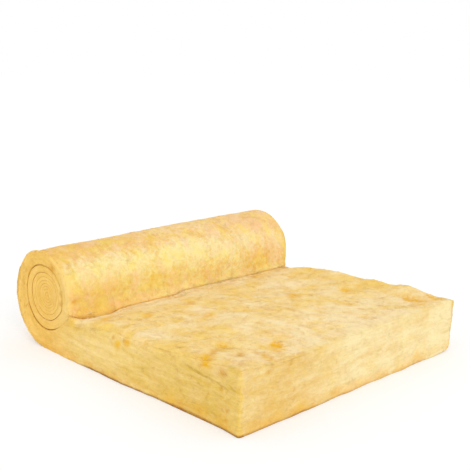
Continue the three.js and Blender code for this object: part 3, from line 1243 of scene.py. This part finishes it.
    def low_edges(self, tone):
        """Richer wool along the floor, orange by the roll's foot that is partly painted shade of the
        crease, and the split in the near side with painted shade along it.
        """
        x, y, z = self.axes
        laid, patches = 1 - self.barrel, self.patches
        low_edge = (1 - z.rising(0.005, 0.05)) * laid
        tone = self.bench.blend(tone, ORANGE, low_edge * patches.rising(0.35, 0.6) * 0.6)
        # By the roll's foot: orange, partly painted shade of the crease
        by_foot = self.crease * laid * uneven(1.2, (patches, 2.0)) * (1 - y.rising(-0.55, -0.40) * 0.7)
        tone = self.bench.blend(tone, ORANGE, by_foot.rising(0.1, 1.0) * 0.6)
        # The split: a thin olive line, painted shade in the crack
        from_split = z - SPLIT_HEIGHT + (x - SPLIT_START) * -SPLIT_SLOPE + (self.mottle - 0.5) * 0.02
        split = (1 - abs(from_split).rising(0.002, 0.007)) * (-1 * y).rising(0.5, 0.56)
        split = split * x.rising(SPLIT_START, 0.42) * (1 - x.rising(0.55, SPLIT_END))
        return self.bench.blend(tone, OLIVE, split * self.mottle.rising(0.38, 0.6) * 0.7)

    def fibres(self, tone):
        """Threads, shade between the fibres, drifts of hue, and the loose strands' own tints."""
        x, y, _ = self.axes
        blend, barrel = self.bench.blend, self.barrel
        plucked = x.rising(0.2, 0.45) * (1 - y.rising(-0.35, 0)) * (1 - self.cut)
        dark_threads = self.dark_threads * self.mottle.rising(0.4, 0.6) * self.open_skin
        tone = blend(tone, TOFFEE, dark_threads * (plucked * 0.2 + 0.06))
        tone = blend(tone, CREAM, self.pale_threads * self.open_skin * 0.1)
        between = 1 - self.wisps.rising(0.28, 0.66)
        tone = blend(tone, SHADE, between * (0.5 - 0.12 * self.cut), "MULTIPLY")
        tone = blend(tone, SHADE, (1 - self.mottle.rising(0.35, 0.6)) * barrel * 0.14, "MULTIPLY")
        drift = self.open_skin * (0.1 + 0.3 * barrel * self.front)
        tone = blend(tone, PINK, self.hue.rising(0.47, 0.72) * drift)
        tone = blend(tone, LEMON, (1 - self.hue.rising(0.28, 0.53)) * drift)
        tone = blend(tone, CREAM, self.strand.most(0) * 0.12)
        return blend(tone, SHADE, (-1 * self.strand).most(0) * (0.25 - 0.1 * barrel), "MULTIPLY")

    def spots(self, tone):
        """Painted light and painted shade in the crease, spots of richer wool, knots, and a painted contact
        shadow along the floor.
        """
        x, y, z = self.axes
        blend, crease = self.bench.blend, self.crease
        # Painted light on the laid side of the crease, and painted shade in it towards the near end
        lit_fold = crease.rising(0.75, 1) * y.rising(-0.5, -0.4) * (1 - y.rising(-0.16, -0.06) * 0.7)
        tone = blend(tone, PEACH, lit_fold * 0.7)
        painted_crease_shade = crease.rising(0.45, 0.95) * (1 - y.rising(-0.46, -0.36)) * y.rising(-0.6, -0.57)
        tone = blend(tone, TOFFEE, painted_crease_shade * 0.45)
        ragged = 0.5 + self.mottle.rising(0.35, 0.65) * 0.8
        orange = (self.bench.mark("orange_spot") * ragged).least(1)
        tone = blend(tone, AMBER, orange * (0.5 + z.rising(0.05, 0.12) * 0.5))
        brown = (self.bench.mark("brown_spot") * (ragged * 0.5 + 0.5)).least(1)
        tone = blend(tone, KNOT, brown * 0.85)
        # A painted contact shadow along the foot of the cut faces, where they meet the floor
        end_contact_shadow = 0.5 - y.rising(-0.35, 0.2) * 0.3 + (1 - abs(y + 0.34).rising(0.02, 0.07)) * 0.3
        hem = (self.cut_side * x.rising(-0.3, -0.1)).most(self.cut_end * end_contact_shadow)
        hem = (1 - z.rising(0.003, 0.012)) * hem
        return blend(tone, CONTACT_SHADOW, hem * (0.55 + self.patches.rising(0.3, 0.6) * 0.4))

    def material(self):
        bench = self.bench
        tone = self.spots(self.fibres(self.low_edges(self.faces())))
        height = self.wisps * 0.6 + self.mottle * 0.4
        bump = bench.add("ShaderNodeBump", {}, {"Strength": 0.3, "Distance": 0.005, "Height": height})
        bench.feed(bench.shader.inputs["Base Color"], tone)
        bench.feed(bench.shader.inputs["Normal"], bump)
        bench.shader.inputs["Roughness"].default_value = 0.95
        bench.shader.inputs["Specular IOR Level"].default_value = 0.15
        bench.shader.inputs["Sheen Weight"].default_value = 0.1
        bench.shader.inputs["Sheen Roughness"].default_value = 0.6
        return bench.material


# ---------------------------------------------------------------- stage

FLOOR_SIZE = 60
PAPER = (0.93, 0.93, 0.93, 1)
BLACK = (0, 0, 0, 1)
SHADOW_KEPT = 0.6  # the floor shows this share of its shadow, and the rest of it is white
SHADED = (SHADOW_KEPT, SHADOW_KEPT, SHADOW_KEPT, 1)
GLOWING = (1 - SHADOW_KEPT, 1 - SHADOW_KEPT, 1 - SHADOW_KEPT, 1)
SKY_LEVEL = 0.94
KEY_LEVEL = 0.7
KEY_SPREAD = math.radians(30)
KEY_FROM = Vector((0.78, -0.38, 0.5))


def floor_material():
    """White to the camera where it is lit, and still able to take a light shadow."""
    bench = Bench("floor")
    seen = bench.add("ShaderNodeLightPath", {}, {}, "Is Camera Ray")
    bench.feed(bench.shader.inputs["Base Color"], bench.blend(PAPER, SHADED, seen))
    bench.feed(bench.shader.inputs["Emission Color"], bench.blend(BLACK, GLOWING, seen))
    bench.shader.inputs["Emission Strength"].default_value = 1
    bench.shader.inputs["Roughness"].default_value = 1
    bench.shader.inputs["Specular IOR Level"].default_value = 0
    return bench.material


def add_floor():
    deselect()
    bpy.ops.mesh.primitive_plane_add(size=FLOOR_SIZE)
    floor = bpy.context.object
    floor.name = "floor"
    floor.data.materials.append(floor_material())


def add_world():
    """Plain light from all round, and pure white to the camera."""
    world = bpy.data.worlds.new("world")
    bpy.context.scene.world = world
    world.use_nodes = True
    nodes = world.node_tree.nodes
    links = world.node_tree.links
    lit = nodes["Background"]
    seen = nodes.new("ShaderNodeBackground")
    for sky, level in ((lit, SKY_LEVEL), (seen, 1)):
        sky.inputs["Color"].default_value = (1, 1, 1, 1)
        sky.inputs["Strength"].default_value = level
    rays = nodes.new("ShaderNodeLightPath")
    choose = nodes.new("ShaderNodeMixShader")
    links.new(rays.outputs["Is Camera Ray"], choose.inputs[0])
    links.new(lit.outputs[0], choose.inputs[1])
    links.new(seen.outputs[0], choose.inputs[2])
    links.new(choose.outputs[0], nodes["World Output"].inputs["Surface"])


def add_key_lamp():
    lamp = bpy.data.lights.new("key", "SUN")
    lamp.energy = KEY_LEVEL
    lamp.angle = KEY_SPREAD
    key = bpy.data.objects.new("key", lamp)
    bpy.context.scene.collection.objects.link(key)
    key.rotation_euler = KEY_FROM.to_track_quat("Z", "Y").to_euler()


bpy.context.scene.view_settings.view_transform = "Standard"
add_camera()
WOOL = Wool().material()
BLANKET = make_blanket(WOOL)
add_all_fibres(BLANKET, WOOL)
add_floor()
add_world()
add_key_lamp()
